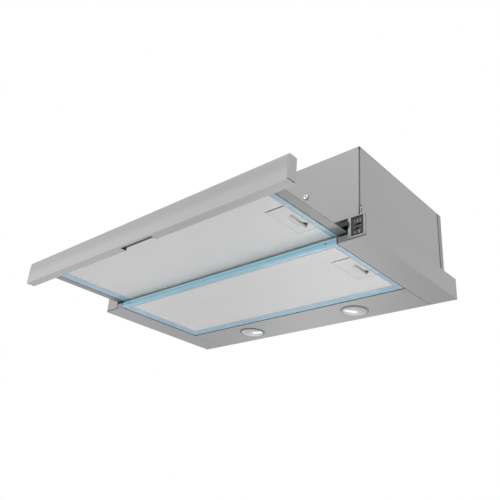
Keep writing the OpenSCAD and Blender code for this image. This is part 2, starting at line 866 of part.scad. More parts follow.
// Front trim: a closed profile with a bowed face that leans back, and a finger notch in its foot
trim_z = under_z - trim_sag;
trim_h = skirt_top - trim_drop - trim_z;
trim_rear = rail_front;
trim_front = trim_rear - trim_t;
trim_len = norm([trim_lean, trim_h]);
trim_r = (trim_len * trim_len / 4 + trim_bow * trim_bow) / (2 * trim_bow);
trim_turn = atan2(trim_lean, trim_h);
trim_x = skirt_x + trim_over;
notch_x = [notch_shift - notch_w / 2, notch_shift + notch_w / 2];

// Side view of the trim, grown inwards by a wall, with Y along X and Z along Y
module trim_side(wall) {
  intersection() {
    translate([trim_front + wall, trim_z + wall])
      square([trim_t - 2 * wall, trim_h - 2 * wall]);
    translate([trim_front + trim_lean / 2, trim_z + trim_h / 2])
      rotate(-trim_turn)
        translate([trim_r - trim_bow, 0])
          circle(r = trim_r - wall, $fn = 720);
  }
}

module front_trim() {
  color("silver")
    difference() {
      union() {
        along_x(-trim_x + cap_t, 2 * (trim_x - cap_t))
          difference() {
            trim_side(0);
            trim_side(trim_wall);
          }
        along_x(-trim_x, 2 * trim_x)
          intersection() {
            trim_side(0);
            translate([trim_front, trim_z]) square([trim_t, trim_wall]);
          }
      }
      block(notch_x, [trim_rear - notch_d, trim_rear + over], [trim_z - over, trim_z + notch_h]);
    }
}

// An end cap, which closes the profile and leaves a fine gap over its foot
module trim_cap_right() {
  plug_l = 8;
  color("gainsboro")
    difference() {
      union() {
        along_x(trim_x - cap_t, cap_t) trim_side(0);
        along_x(trim_x - cap_t - plug_l, plug_l) trim_side(trim_wall);
      }
      block([trim_x - cap_t - plug_l - over, trim_x + over], [trim_front - over, trim_rear + over],
            [trim_z - over, trim_z + trim_wall + cap_gap]);
    }
}

module trim_cap_left() twin() trim_cap_right();

// Liner of the finger notch: a shallow dark box, open below and to the rear
module grip_liner() {
  liner_wall = 1;
  color("#2a2a2a")
    difference() {
      block(notch_x, [trim_rear - notch_d, trim_rear], [trim_z, trim_z + notch_h]);
      block([notch_x[0] + liner_wall, notch_x[1] - liner_wall], [trim_rear - notch_d + liner_wall, trim_rear + over],
            [trim_z - over, trim_z + notch_h - liner_wall]);
    }
}

// Fan
inlet_over = 2;
inlet_r = wheel_r - blade_deep + inlet_over;

// One quarter of a disc, from an angle, about a centre
module quarter(r, from, c) {
  translate(c) rotate(from) intersection() {
    circle(r = r);
    square(r);
  }
}

// The area inside the scroll, grown by a wall: three growing quarters and an upright duct
module scroll_area(grow) {
  s = scroll_step;
  quarter(scroll_r + grow, 90, [0, 0]);
  quarter(scroll_r + s + grow, 180, [s, 0]);
  quarter(scroll_r + 2 * s + grow, 270, [s, s]);
  quarter(scroll_r + grow, 0, [0, 0]);
  translate([-over, -over]) square([s + 2 * over, s + 2 * over]);
  translate([duct_in - grow, s]) square([duct_out - duct_in + 2 * grow, duct_rise - s]);
}

module at_axis() {
  translate([0, axis_y, axis_z]) children();
}

// The band of the scroll and its round flange, which closes the hole under the top panel
module fan_scroll() {
  rim = 5;
  duct_y = (duct_out - duct_in) / 2;
  flange_r = max(outlet_r, norm([cheek_x, duct_y])) + rim;
  color("whitesmoke") {
    at_axis()
      along_x(-cheek_x, 2 * cheek_x)
        difference() {
          scroll_area(scroll_wall);
          scroll_area(0);
          translate([duct_in, scroll_step]) square([duct_out - duct_in, duct_rise]);
        }
    difference() {
      translate([0, 0, box_roof - scroll_wall]) cylinder(r = flange_r, h = scroll_wall);
      block([-cheek_x, cheek_x], [-duct_y, duct_y], [box_roof - scroll_wall - over, box_roof + over]);
    }
  }
}

// A side of the scroll with its bell mouthed inlet
module fan_cheek_right() {
  bell = 4.8;
  color("whitesmoke")
    at_axis() {
      along_x(cheek_x, scroll_wall)
        difference() {
          intersection() {
            scroll_area(scroll_wall);
            translate([-2 * scroll_r, -2 * scroll_r]) square([4 * scroll_r, 2 * scroll_r + duct_rise - scroll_wall]);
          }
          circle(r = inlet_r);
        }
      translate([cheek_x, 0, 0])
        rotate([0, 90, 0])
          rotate_extrude()
            intersection() {
              translate([inlet_r, scroll_wall / 2]) square([bell + scroll_wall, bell]);
              difference() {
                translate([inlet_r + bell + scroll_wall, 0]) circle(r = bell + scroll_wall);
                translate([inlet_r + bell + scroll_wall, 0]) circle(r = bell);
              }
            }
    }
}

module fan_cheek_left() twin() fan_cheek_right();

hub_r = 9;
disc_t = 1.6;

// Side view of one forward curved blade: a bent strip, just short of the rings' outer face
module blade_section() {
  blade_t = 0.9;
  curve_share = 0.8;
  drop_share = 0.7;
  blade_in = 0.7;
  curve_r = blade_deep * curve_share;
  drop = curve_r * drop_share;
  intersection() {
    translate([wheel_r - blade_deep / 2, -drop])
      difference() {
        circle(r = curve_r);
        circle(r = curve_r - blade_t);
      }
    translate([wheel_r - blade_deep, -drop]) square([blade_deep, 2 * curve_r]);
    difference() {
      circle(r = wheel_r - blade_in);
      circle(r = wheel_r - blade_deep);
    }
  }
}

// Double inlet wheel: blades between two end rings and a middle disc with its hub
module fan_wheel() {
  ring_w = 3;
  ring_share = 0.55;
  hub_l = 14;
  blade_end = 1;
  color("#303030")
    at_axis()
      difference() {
        union() {
          along_x(blade_end - wheel_w / 2, wheel_w - 2 * blade_end)
            for (i = [0 : blades - 1]) rotate(i * 360 / blades) blade_section();
          for (x = [-wheel_w / 2, wheel_w / 2 - ring_w])
            along_x(x, ring_w) difference() {
              circle(r = wheel_r);
              circle(r = wheel_r - blade_deep * ring_share);
            }
          along_x(-disc_t / 2, disc_t) circle(r = wheel_r);
          along_x(-hub_l, hub_l) circle(r = hub_r);
        }
        along_x(-hub_l - over, hub_l + disc_t + 2 * over) circle(d = shaft_d);
      }
}

motor_front = 6;
shaft_in = 24;

module motor_shaft() {
  color("lightgray")
    at_axis() along_x(-hub_r * 2, hub_r * 2 + motor_front + shaft_in) circle(d = shaft_d);
}

// Motor: a can with two raised end shields and ribs
module motor() {
  shield_h = 3;
  shield_in = 5;
  shield_r = motor_d / 2 - shield_in;
  ribs = 12;
  rib_w = 2;
  rib_l = motor_l / 2;
  color("dimgray")
    at_axis()
      difference() {
        union() {
          along_x(motor_front + shield_h, motor_l - 2 * shield_h) circle(d = motor_d - rib_w);
          along_x(motor_front, motor_l) circle(r = shield_r);
          along_x(motor_front + motor_l - rib_l, rib_l - shield_h)
            intersection() {
              circle(d = motor_d);
              for (i = [0 : ribs - 1]) rotate(i * 360 / ribs) translate([0, -rib_w / 2]) square([motor_d / 2, rib_w]);
            }
        }
        along_x(motor_front - over, shaft_in + 2 * over) circle(d = shaft_d + 2 * shaft_fit);
      }
}

// Three armed bracket between the motor's end and the right cheek
module motor_bracket() {
  ring_t = 3;
  ring_off = 6;
  ring_x = cheek_x + scroll_wall + ring_off;
  ring_w = 5;
  arm_w = 12;
  arm_r = wheel_r + scroll_gap;
  foot = 4;
  color("lightgray")
    at_axis()
      difference() {
        union() {
          along_x(ring_x, ring_t) circle(r = motor_d / 2 + ring_w);
          for (a = [30, 150, 270]) rotate([a, 0, 0]) {
            block([ring_x, ring_x + ring_t], [0, arm_r], [-arm_w / 2, arm_w / 2]);
            block([cheek_x + scroll_wall, ring_x + ring_t], [arm_r - foot, arm_r], [-arm_w / 2, arm_w / 2]);
          }
        }
        along_x(ring_x - over, ring_t + 2 * over) circle(d = motor_d);
      }
}

// Outlet

stop_z = 5;
stop_t = 1.5;
stop_w = 2.5;
pin_d = 3;
pin_z = 9;
boss_l = 4.5;
boss_y = 4;
boss_rise = 3;
boss_x = outlet_r - boss_l;
boss_top = pin_z + boss_rise;
flap_t = 1;
flap_gap = 1.2;
knuckle_r = 2.6;
knuckle_l = 9;
pin_fit = 0.05;

module outlet_collar() {
  color("#303030")
    difference() {
      union() {
        difference() {
          union() {
            cylinder(d = collar_d, h = collar_h);
            cylinder(d = collar_d + 2 * collar_foot, h = collar_wall);
          }
          translate([0, 0, -over]) cylinder(r = outlet_r, h = collar_h + 2 * over);
        }
        translate([0, 0, stop_z])
          difference() {
            cylinder(r = outlet_r + collar_wall / 2, h = stop_t);
            translate([0, 0, -over]) cylinder(r = outlet_r - stop_w, h = stop_t + 2 * over);
          }
        for (s = [-1, 1])
          intersection() {
            cylinder(r = outlet_r + collar_wall / 2, h = collar_h);
            block([s > 0 ? boss_x : -outlet_r - collar_wall, s > 0 ? outlet_r + collar_wall : -boss_x],
                  [-boss_y, boss_y], [stop_z, boss_top]);
          }
      }
      translate([-outlet_r - collar_wall / 2, 0, pin_z])
        rotate([0, 90, 0]) cylinder(d = pin_d, h = 2 * outlet_r + collar_wall);
    }
}

module flap_pin() {
  color("lightgray")
    translate([-outlet_r - collar_wall / 2, 0, pin_z])
      rotate([0, 90, 0]) cylinder(d = pin_d, h = 2 * outlet_r + collar_wall);
}

// Half disc with two knuckles on the pin, on the side of positive Y
module flap(knuckles) {
  plate_z = stop_z + stop_t + slide_gap / 2;
  edge_y = knuckle_r + slide_gap * 2;
  corner_gap = 1.8;
  corner_y = boss_y + corner_gap;
  difference() {
    union() {
      intersection() {
        translate([0, 0, plate_z]) cylinder(r = outlet_r - flap_gap, h = flap_t);
        union() {
          block([-outlet_r, outlet_r], [corner_y, outlet_r], [plate_z, plate_z + flap_t]);
          block([-boss_x + flap_gap, boss_x - flap_gap], [edge_y, outlet_r], [plate_z, plate_z + flap_t]);
        }
      }
      for (x = knuckles) {
        translate([x, 0, pin_z]) rotate([0, 90, 0]) cylinder(r = knuckle_r, h = knuckle_l);
        block([x, x + knuckle_l], [0, edge_y + over], [plate_z, plate_z + flap_t]);
      }
    }
    translate([-outlet_r, 0, pin_z]) rotate([0, 90, 0]) cylinder(d = pin_d + 2 * pin_fit, h = 2 * outlet_r);
  }
}

// Places of the knuckles, where the two flaps take turns along the pin
knuckle_far = 30;
knuckle_gap = 2;
knuckle_near = knuckle_far - 2 * knuckle_l - knuckle_gap;

module flap_rear() {
  color("gray") flap([-knuckle_far, knuckle_near]);
}

module flap_front() {
  color("gray") mirror([0, 1, 0]) flap([-knuckle_near - knuckle_l, knuckle_far - knuckle_l]);
}

// Electrics

term_w = 60;
term_d = 44;
term_h = 34;
gland_deep = 12;

module terminal_box() {
  lid_t = 2;
  lid_out = 1.5;
  color("#303030")
    difference() {
      union() {
        translate([gland_x, gland_y, box_roof - term_h / 2]) cube([term_w, term_d, term_h], center = true);
        translate([gland_x, gland_y, box_roof - term_h - lid_t / 2])
          cube([term_w + 2 * lid_out, term_d + 2 * lid_out, lid_t], center = true);
      }
      translate([gland_x, gland_y, box_roof - gland_deep]) cylinder(d = gland_d, h = gland_deep + over);
    }
}

// Gland: a hexagon on the top panel, a domed nut, a shank down into the terminal box
module cable_gland() {
  hex_d = 24;
  hex_h = 5;
  nut_d = 19;
  nut_h = 8;
  bore_d = 8;
  color("#303030")
    translate([gland_x, gland_y, 0])
      difference() {
        union() {
          cylinder(d = hex_d, h = hex_h, $fn = 6);
          translate([0, 0, hex_h]) cylinder(d = nut_d, h = nut_h);
          translate([0, 0, box_roof - gland_deep]) cylinder(d = gland_d, h = gland_deep + sheet);
        }
        translate([0, 0, box_roof - gland_deep - over]) cylinder(d = bore_d, h = hex_h + nut_h + gland_deep + sheet + 2 * over);
      }
}

// Capacitor in a clip under the top panel
module capacitor() {
  cap_r = 14;
  cap_l = 52;
  cap_x = 130;
  cap_y = -40;
  clip_w = 12;
  clip_h = 3;
  drop = cap_r + clip_h;
  color("lightgray") {
    translate([cap_x, cap_y, box_roof - drop]) rotate([0, 90, 0]) cylinder(r = cap_r, h = cap_l);
    block([cap_x + cap_l / 2 - clip_w / 2, cap_x + cap_l / 2 + clip_w / 2], [cap_y - cap_r / 2, cap_y + cap_r / 2],
          [box_roof - drop, box_roof]);
  }
}

// Drawer switch behind the closed drawer's rear bar, on an arm from the rear wall
switch_body_x = [-60, -40];
closed_bar = bar_front + bar_d + travel;
plunger_out = 3;
plunger_gap = 0.3;
plunger_d = 3;
plunger_deep = 6.4;
plunger_in = 3;
plunger_z = drawer_z + sheet * 3 / 2;
switch_body_y = closed_bar + plunger_gap + plunger_out;

module drawer_switch() {
  body_w = 8;
  body_h = 8;
  arm_t = 1.5;
  foot_h = 10;
  low = plunger_z - body_h / 2;
  wall_y = rear_y - sheet;
  color("#402020")
    difference() {
      union() {
        block(switch_body_x, [switch_body_y, switch_body_y + body_w], [low, low + body_h]);
        block(switch_body_x, [switch_body_y, wall_y], [low, low + arm_t]);
        block(switch_body_x, [wall_y - arm_t, wall_y], [low, low + foot_h]);
      }
      translate([(switch_body_x[0] + switch_body_x[1]) / 2, switch_body_y - over, plunger_z])
        rotate([-90, 0, 0]) cylinder(d = plunger_d + 2 * pin_fit, h = plunger_deep + over);
    }
}

module switch_plunger() {
  color("white")
    translate([(switch_body_x[0] + switch_body_x[1]) / 2, switch_body_y - plunger_out, plunger_z])
      rotate([-90, 0, 0]) cylinder(d = plunger_d, h = plunger_out + plunger_in);
}

// Pan head screws of the front panel
module panel_screws() {
  head_d = 8;
  head_h = 2.4;
  shank_d = 4;
  shank_l = 9;
  color("white")
    for (s = [-1, 1])
      translate([s * screw_x, box_front, -screw_drop])
        rotate([90, 0, 0]) {
          intersection() {
            cylinder(d = head_d, h = head_h);
            translate([0, 0, head_h - head_d]) sphere(r = head_d);
          }
          translate([0, 0, -shank_l]) cylinder(d = shank_d, h = shank_l);
        }
}

top_panel();
front_panel();
side_panel_left();
side_panel_right();
back_panel();
skirt_left();
skirt_right();
front_ledge();
lamp_panel();
lamp_bezel_left();
lamp_bezel_right();
lamp_lens_left();
lamp_lens_right();
lamp_body_left();
lamp_body_right();
fascia_left();
fascia_right();
slide_guide_left();
slide_guide_right();
runner_left();
runner_right();
switch_block();
speed_slider();
light_slider();
filter_frame();
filter_mesh();
filter_film();
filter_pocket();
filter_latch();
drawer_side_left();
drawer_side_right();
drawer_rear_bar();
slide_shoe_left();
slide_shoe_right();
front_trim();
trim_cap_left();
trim_cap_right();
grip_liner();
drawer_filter_frame();
drawer_filter_mesh();
drawer_filter_film();
drawer_filter_pocket();
drawer_filter_latch();
fan_scroll();
fan_cheek_left();
fan_cheek_right();
fan_wheel();
motor_shaft();
motor();
motor_bracket();
outlet_collar();
flap_pin();
flap_front();
flap_rear();
terminal_box();
cable_gland();
capacitor();
drawer_switch();
switch_plunger();
panel_screws();
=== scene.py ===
import math

import bmesh
import bpy
from mathutils import Matrix, Vector


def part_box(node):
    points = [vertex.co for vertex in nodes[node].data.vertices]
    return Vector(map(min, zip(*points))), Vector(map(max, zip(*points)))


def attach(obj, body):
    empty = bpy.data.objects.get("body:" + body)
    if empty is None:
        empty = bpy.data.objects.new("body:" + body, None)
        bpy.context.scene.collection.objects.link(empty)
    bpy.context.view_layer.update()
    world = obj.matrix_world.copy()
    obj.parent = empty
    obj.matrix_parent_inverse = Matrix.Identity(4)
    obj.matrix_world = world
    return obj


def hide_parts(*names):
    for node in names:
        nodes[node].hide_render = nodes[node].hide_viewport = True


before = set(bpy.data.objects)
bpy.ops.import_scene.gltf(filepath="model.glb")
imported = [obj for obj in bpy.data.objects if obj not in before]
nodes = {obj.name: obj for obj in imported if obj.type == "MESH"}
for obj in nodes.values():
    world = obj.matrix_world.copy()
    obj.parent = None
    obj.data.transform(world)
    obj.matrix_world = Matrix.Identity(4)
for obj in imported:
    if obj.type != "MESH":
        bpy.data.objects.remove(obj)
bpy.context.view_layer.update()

MM = 0.001

# Measures of the filters, which their materials and their new pieces share

RIM = 9.5 * MM
RIM_SHEET = 0.8 * MM
SLIT_BACK = 50 * MM
SLIT_HALF = 1.15 * MM
SLIT_LONG = 30.5 * MM
SHORT = 3.5 * MM
WEAVE_X = 3.7 * MM
WEAVE_Y = 7.4 * MM

# The camera, which looks up at the hood from the front right

LENS = 44.56
SENSOR = 36
EYE = Vector((0.70318, -0.79342, -0.55949))
AHEAD = Vector((-0.62260532, 0.65111507, 0.4340643))
RIGHT = Vector((0.74452388, 0.66365829, 0.07240077))
UP = Vector((0.24092914, -0.36824834, 0.89796788))


def set_camera():
    eye = bpy.data.cameras.new("camera")
    eye.lens = LENS
    eye.sensor_width = SENSOR
    eye.clip_start = 0.01
    camera = bpy.data.objects.new("camera", eye)
    bpy.context.scene.collection.objects.link(camera)
    turn = Matrix((RIGHT, UP, -AHEAD)).transposed()
    camera.matrix_world = Matrix.Translation(EYE) @ turn.to_4x4()
    bpy.context.scene.camera = camera


# Materials


class Value:
    """An output of a material's node, which takes part in Python sums."""

    def __init__(self, tree, socket):
        self.tree = tree
        self.socket = socket

    def node(self, kind, settings=None, values=None, output=0):
        """Adds a node: its settings come first, then the values or links of its sockets."""
        made = self.tree.nodes.new("ShaderNode" + kind)
        for name, setting in (settings or {}).items():
            setattr(made, name, setting)
        for place, value in (values or {}).items():
            if isinstance(value, Value):
                self.tree.links.new(value.socket, made.inputs[place])
            else:
                made.inputs[place].default_value = value
        return Value(self.tree, made.outputs[output]) if made.outputs else None

    def maths(self, operation, *terms):
        return self.node("Math", {"operation": operation}, dict(enumerate(terms)))

    def __add__(self, other):
        return self.maths("ADD", self, other)

    __radd__ = __add__

    def __mul__(self, other):
        return self.maths("MULTIPLY", self, other)

    def __sub__(self, other):
        return self.maths("SUBTRACT", self, other)

    def __rsub__(self, other):
        return self.maths("SUBTRACT", other, self)

    def __truediv__(self, other):
        return self.maths("DIVIDE", self, other)

    def __abs__(self):
        return self.maths("ABSOLUTE", self)

    def most(self, other):
        return self.maths("MAXIMUM", self, other)

    def fraction(self):
        return self.maths("FRACT", self)

    def root(self):
        return self.maths("SQRT", self)

    def step(self, low, high):
        """0 below the low value, 1 over the high one, smooth between."""
        return self.node("MapRange", {"interpolation_type": "SMOOTHSTEP"}, {0: self, 1: low, 2: high})

    def axis(self, number):
        return self.node("SeparateXYZ", None, {0: self}, number)

    def scaled(self, *sizes):
        """The place, stretched along each axis."""
        return self.node("VectorMath", {"operation": "MULTIPLY"}, {0: self, 1: sizes})

    def noise(self, size, detail=2, *, stretch=(1, 1, 1)):
        """Soft noise whose lumps have about the given size in metres."""
        place = self.scaled(*[s / size for s in stretch])
        return place.node("TexNoise", None, {"Vector": place, "Scale": 1, "Detail": detail})

    def tint(self, low, high, blend="MIX"):
        """A colour between two, by this value. Each of them is a plain colour or a value."""
        low, high = (c if isinstance(c, Value) else (*c, 1) for c in (low, high))
        return self.node("Mix", {"data_type": "RGBA", "blend_type": blend}, {0: self, 6: low, 7: high}, 2)

    def open_sky(self, reach):
        """1 where the surface lies open, less in gaps and creases narrower than the reach."""
        return self.node("AmbientOcclusion", {"samples": 8}, {"Distance": reach}, 1)

    def bumps(self, depth, strength=1):
        """A surface normal from this value as a height, as deep as given in metres."""
        return self.node("Bump", None, {"Height": self, "Distance": depth, "Strength": strength})


def finish(name, make):
    """A material from a function that turns the place on the piece into the shader's values."""
    material = bpy.data.materials.new(name)
    material.use_nodes = True
    tree = material.node_tree
    tree.nodes.clear()
    place = Value(tree, tree.nodes.new("ShaderNodeTexCoord").outputs["Object"])
    shader = place.node("BsdfPrincipled", None, make(place))
    shader.node("OutputMaterial", None, {"Surface": shader})
    return material


def grey(tone, warm=0.0):
    return (tone * (1 + warm), tone, tone * (1 - warm))


def around(colour, spread):
    """Two colours, a little darker and a little lighter than the given one."""
    return [tuple(c * (1 + s * spread) for c in colour) for s in (-1, 1)]


# Painted shade: how far the paint looks for nearby parts, and the near black it is painted where they hide it
GAP_SHADE_REACH = 5 * MM
PAINTED_GAP_SHADE = grey(0.02)
# Painted highlight: how much lighter the paint is made low down
PAINTED_FOOT_LIGHT = grey(1.16)


def satin_paint(tone, rough=0.42, metal=0.25, light_fall=None):
    """Silver grey paint: fine flakes, soft clouds, the orange peel of sprayed paint, and painted shade in
    narrow gaps.

    Two levels, if given, between which the paint is painted lighter toward the bottom, as a painted
    highlight."""

    def make(place):
        flakes = place.noise(0.35 * MM, 1)
        clouds = place.noise(90 * MM, 3)
        wiped = place.noise(22 * MM, 4, stretch=(0.25, 1, 1))
        tones = flakes * 0.3 + clouds * 0.45 + wiped * 0.25
        coat = tones.tint(*around(grey(tone, -0.003), 0.055))
        # Painted highlight: lighter below the given levels
        if light_fall:
            foot = 1 - place.axis(2).step(*light_fall)
            coat = foot.tint(coat, PAINTED_FOOT_LIGHT, "MULTIPLY")
        # Painted shade: the paint turns near black in gaps and creases narrower than the reach
        gap_shade_mask = place.open_sky(GAP_SHADE_REACH).step(0.25, 0.8)
        return {
            "Base Color": gap_shade_mask.tint(PAINTED_GAP_SHADE, coat),
            "Metallic": metal,
            "Roughness": rough - 0.05 + clouds * 0.06 + wiped * 0.06,
            "Normal": place.noise(1.6 * MM).bumps(0.02 * MM, 0.25),
        }

    return make


def moulded(colour, rough=0.45, grain=0.35, coat=0.0):
    """Moulded plastic: a fine spark eroded grain and a slight cloudiness."""

    def make(place):
        fine = place.noise(grain * MM, 2)
        clouds = place.noise(16 * MM, 3)
        return {
            "Base Color": (clouds * 0.7 + fine * 0.3).tint(*around(colour, 0.09)),
            "Roughness": rough - 0.06 + fine * 0.06 + clouds * 0.06,
            "Coat Weight": coat,
            "Normal": fine.bumps(0.03 * MM, 0.4),
        }

    return make


def rolled_metal(tone, rough, metal, along=0):
    """Rolled sheet: fine lines along the rolling direction, with cloudy sheen."""

    def make(place):
        stretch = [1.0, 1.0, 1.0]
        stretch[along] = 0.02
        lines = place.noise(0.5 * MM, 3, stretch=stretch)
        clouds = place.noise(40 * MM, 3)
        return {
            "Base Color": (lines * 0.6 + clouds * 0.4).tint(*around(grey(tone), 0.08)),
            "Metallic": metal,
            "Roughness": rough - 0.08 + lines * 0.08 + clouds * 0.1,
            "Normal": lines.bumps(0.015 * MM, 0.35),
        }

    return make


def zinc_plate(place):
    """Zinc plated steel: pale crystals of uneven sheen."""
    crystals = place.node("TexVoronoi", None, {"Vector": place.scaled(260, 260, 260), "Scale": 1}, 1).axis(0)
    fine = place.noise(0.6 * MM, 2)
    return {
        "Base Color": (crystals * 0.6 + fine * 0.4).tint(*around(grey(0.56, -0.01), 0.1)),
        "Metallic": 0.85,
        "Roughness": 0.32 + crystals * 0.14 + fine * 0.05,
        "Normal": fine.bumps(0.02 * MM, 0.3),
    }


def polished(tone, rough=0.16):
    """Bright plated steel with hairline scratches."""

    def make(place):
        lines = place.noise(0.25 * MM, 3, stretch=(1, 0.06, 1))
        clouds = place.noise(6 * MM)
        return {
            "Base Color": lines.tint(*around(grey(tone), 0.05)),
            "Metallic": 1.0,
            "Roughness": rough + lines * 0.06 + clouds * 0.05,
            "Normal": lines.bumps(0.01 * MM, 0.2),
        }

    return make


FILM_BLUE = (0.33, 0.62, 0.82), (0.58, 0.84, 0.98)
# Painted light: colours of the film's front face, apart from its underside
FILM_FRONT_LIT = (0.24, 0.60, 0.90), (0.50, 0.88, 1.0)


def blue_film(low, high):
    """Clear blue protective film with fine creases and trapped air, on a filter frame in the given box.

    It ends short of the rim's inner edge at the right and in front, and is folded along its front face. The
    front face gets its own bluer colours as painted light, darker along its middle as painted shade."""

    def make(place):
        creases = place.noise(7 * MM, 4, stretch=(0.35, 1.2, 1))
        air = place.node("TexVoronoi", None, {"Vector": place.scaled(190, 190, 190), "Scale": 1})
        spots = 1 - air.step(0.1, 0.3)
        cover = 0.74 + creases * 0.18 - spots * 0.08
        x, y = place.axis(0), place.axis(1)
        inner_x, inner_y = high.x - RIM, low.y + RIM
        end_x, end_y = inner_x + SHORT, inner_y - SHORT
        bare_right = (1 - x.step(end_x - 0.5 * MM, end_x + 0.5 * MM)) * x.step(inner_x - 1 * MM, inner_x)
        bare_front = y.step(end_y - 0.5 * MM, end_y + 0.5 * MM) * (1 - y.step(inner_y, inner_y + 1 * MM))
        bare = bare_right.most(bare_front)
        blue = (creases * 0.75 + spots * 0.15).tint(*FILM_BLUE)
        face = 1 - y.step(low.y + 0.1 * MM, low.y + 0.4 * MM)
        # Painted shade: the front face is darker along its middle
        fold = abs(place.axis(2) - (low.z + high.z) / 2).step(0.35 * MM, 0.8 * MM)
        lit_front_blue = fold.tint(*FILM_FRONT_LIT)
        return {
            "Base Color": face.tint(blue, lit_front_blue),
            "Roughness": 0.3 + creases * 0.12,
            "Alpha": (cover + face * 0.2) * (1 - bare * (1 - face) * 0.8),
            "Coat Weight": 0.2,
            "Normal": (creases + spots * 0.2).bumps(0.12 * MM, 0.25),
        }

    return make


def inner_layers(low, high):
    """The folded layers behind the face mesh, seen as diamonds of metal and of painted shade, lighter and
    darker across each fold as painted light and shade, with the slit painted near black as painted shade.
    """
    rim_right = high.x + RIM_SHEET - RIM
    slit = low.y - RIM_SHEET + SLIT_BACK

    def make(place):
        x = place.axis(0) / WEAVE_X
        y = place.axis(1) / WEAVE_Y
        one = abs((x + y).fraction() - 0.5)
        two = abs((x - y).fraction() - 0.5)
        hole = one.most(two).step(0.30, 0.42)
        # Painted light and shade across each fold
        folds = abs((place.axis(1) / (6 * MM)).fraction() - 0.5) * 2
        fine = place.noise(0.8 * MM)
        metal = (1 - hole) * 0.55 + folds * 0.3 + fine * 0.15
        # Painted shade: the slit is painted near black
        across = 1 - abs(place.axis(1) - slit).step(SLIT_HALF, SLIT_HALF + 0.3 * MM)
        along = place.axis(0).step(rim_right - SLIT_LONG, rim_right - SLIT_LONG + 1 * MM)
        lit = metal.tint(grey(0.78), grey(0.98))
        return {
            "Base Color": (across * along).tint(lit, grey(0.008)),
            "Metallic": 0.3,
            "Roughness": 0.42 + fine * 0.1,
            "Normal": (1 - hole).bumps(0.3 * MM, 0.5),
        }

    return make


def lens_opal(x, y, radius):
    """Milky lens with fine rings pressed in it, clear at the rim, hazier in the middle."""

    def make(place):
        across = (place.axis(0) - x) / radius
        back = (place.axis(1) - y) / radius
        reach = (across * across + back * back).root()
        rings = abs((reach * 9).fraction() - 0.5) * 2
        haze = place.noise(9 * MM, 3)
        core = 1 - reach.step(0.1, 0.75)
        milk = (core * 0.5 + haze * 0.3 + rings * 0.2).tint((0.56, 0.57, 0.58), grey(0.90))
        return {
            "Base Color": milk,
            "Roughness": 0.16 + haze * 0.1,
            "Coat Weight": 0.6,
            "Normal": rings.bumps(0.12 * MM, 0.35),
        }

    return make


def white_print(place):
    """Pad printed white, a little thin in places."""
    thin = place.noise(0.6 * MM, 3)
    return {
        "Base Color": thin.tint(grey(0.55), grey(0.86)),
        "Roughness": 0.4 + thin * 0.15,
        "Normal": thin.bumps(0.02 * MM, 0.3),
    }


SEAM_Y = -33 * MM


def drawn_sleeve(place):
    """Sleeve of the capacitor: smooth film that is drawn tight, with a faint seam."""
    seam = 1 - abs(place.axis(1) - SEAM_Y).step(0.1 * MM, 0.6 * MM)
    clouds = place.noise(12 * MM, 3)
    return {
        "Base Color": (clouds * 0.6 + seam * 0.4).tint((0.66, 0.66, 0.64), (0.78, 0.78, 0.76)),
        "Roughness": 0.3 + clouds * 0.12,
        "Normal": (seam + clouds * 0.2).bumps(0.1 * MM, 0.4),
    }


silver = finish("silver_paint", satin_paint(0.405))
# A darker copy of the silver paint, as painted shade, for the drawer's rails, its rear bar and the back panel
shaded_silver = finish("rail_paint", satin_paint(0.28, 0.38, 0.4))
# The trim is painted lighter along its lower part as a painted highlight
trim_silver = finish("trim_paint", satin_paint(0.43, 0.40, 0.3, (-0.150, -0.136)))
cap_grey = finish("cap_plastic", moulded(grey(0.475), 0.4))
# Painted shade: the bezels are made near black to stand for the shade on their side walls
shaded_bezel = finish("bezel_plastic", moulded(grey(0.13), 0.3, coat=0.3))
black = finish("black_plastic", moulded(grey(0.022), 0.42))
knob_black = finish("knob_plastic", moulded(grey(0.05), 0.38))
zinc = finish("zinc_steel", zinc_plate)
rim_metal = finish("filter_rim", rolled_metal(0.72, 0.5, 0.4))
face_metal = finish("filter_face", rolled_metal(1.0, 0.42, 0.12, along=1))
plate_metal = finish("filter_plate", rolled_metal(0.68, 0.42, 0.3, along=1))
pocket_grey = finish("pocket_plastic", moulded(grey(0.78), 0.5))
latch_grey = finish("latch_plastic", moulded(grey(0.74), 0.36))
scroll_white = finish("scroll_plastic", moulded(grey(0.70, 0.012), 0.45))
wheel_black = finish("wheel_plastic", moulded(grey(0.035), 0.42))
flap_black = finish("flap_plastic", moulded(grey(0.07), 0.42))
lamp_white = finish("lamp_housing", moulded(grey(0.62, 0.01), 0.46))
sleeve_white = finish("capacitor_sleeve", drawn_sleeve)
motor_grey = finish("motor_steel", satin_paint(0.12, 0.45, 0.5))
bright = finish("bright_steel", polished(0.80))
plunger_white = finish("plunger_plastic", moulded(grey(0.74, 0.01), 0.3))
ink = finish("white_print", white_print)

SIDES = ("left", "right")


def both(*names):
    return [f"{name}_{side}" for name in names for side in SIDES]


